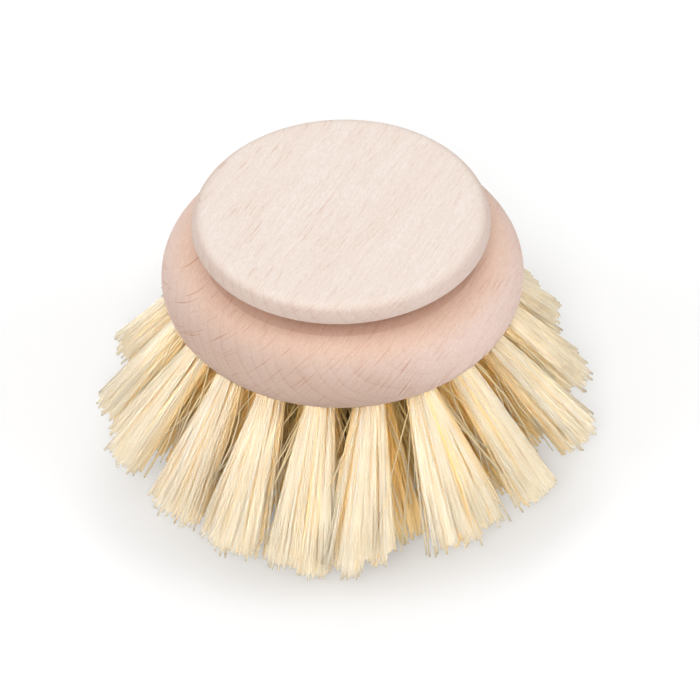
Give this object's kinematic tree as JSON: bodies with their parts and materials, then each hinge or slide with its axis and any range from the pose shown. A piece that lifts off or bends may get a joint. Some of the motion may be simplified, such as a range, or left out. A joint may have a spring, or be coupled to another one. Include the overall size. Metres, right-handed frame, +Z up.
{
  "type": "dish brush head",
  "caption": "Round turned wooden dish brush head with a clip groove and fanned natural fibre tufts stapled into its underside.",
  "frame": {"origin": "on the axis of turning, in the plane that the brush stands on, under the cut ends of the standing bristles", "axes": "+Z up along the axis of turning, out of the flat top face; +X and +Y along the standing plane, +X through an outer tuft"},
  "size_m": [0.0702, 0.0696, 0.0413],
  "materials": {
    "beech": "untreated beech, finely sanded, matte",
    "fibre": "pale cream plant fibre, stiff, slightly glossy",
    "anchor_wire": "plain flat steel wire"
  },
  "bodies": {
    "root": {"wood_body": "beech", "wood_disc": "beech", "anchors": "anchor_wire", "tuft_outer_01": "fibre", "tuft_outer_02": "fibre", "tuft_outer_03": "fibre", "tuft_outer_04": "fibre", "tuft_outer_05": "fibre", "tuft_outer_06": "fibre", "tuft_outer_07": "fibre", "tuft_outer_08": "fibre", "tuft_outer_09": "fibre", "tuft_outer_10": "fibre", "tuft_outer_11": "fibre", "tuft_outer_12": "fibre", "tuft_outer_13": "fibre", "tuft_outer_14": "fibre", "tuft_outer_15": "fibre", "tuft_outer_16": "fibre", "tuft_outer_17": "fibre", "tuft_outer_18": "fibre", "tuft_middle_01": "fibre", "tuft_middle_02": "fibre", "tuft_middle_03": "fibre", "tuft_middle_04": "fibre", "tuft_middle_05": "fibre", "tuft_middle_06": "fibre", "tuft_middle_07": "fibre", "tuft_middle_08": "fibre", "tuft_middle_09": "fibre", "tuft_middle_10": "fibre", "tuft_middle_11": "fibre", "tuft_middle_12": "fibre", "tuft_inner_01": "fibre", "tuft_inner_02": "fibre", "tuft_inner_03": "fibre", "tuft_inner_04": "fibre", "tuft_inner_05": "fibre", "tuft_inner_06": "fibre", "tuft_centre": "fibre"}
  },
  "joints": []
}
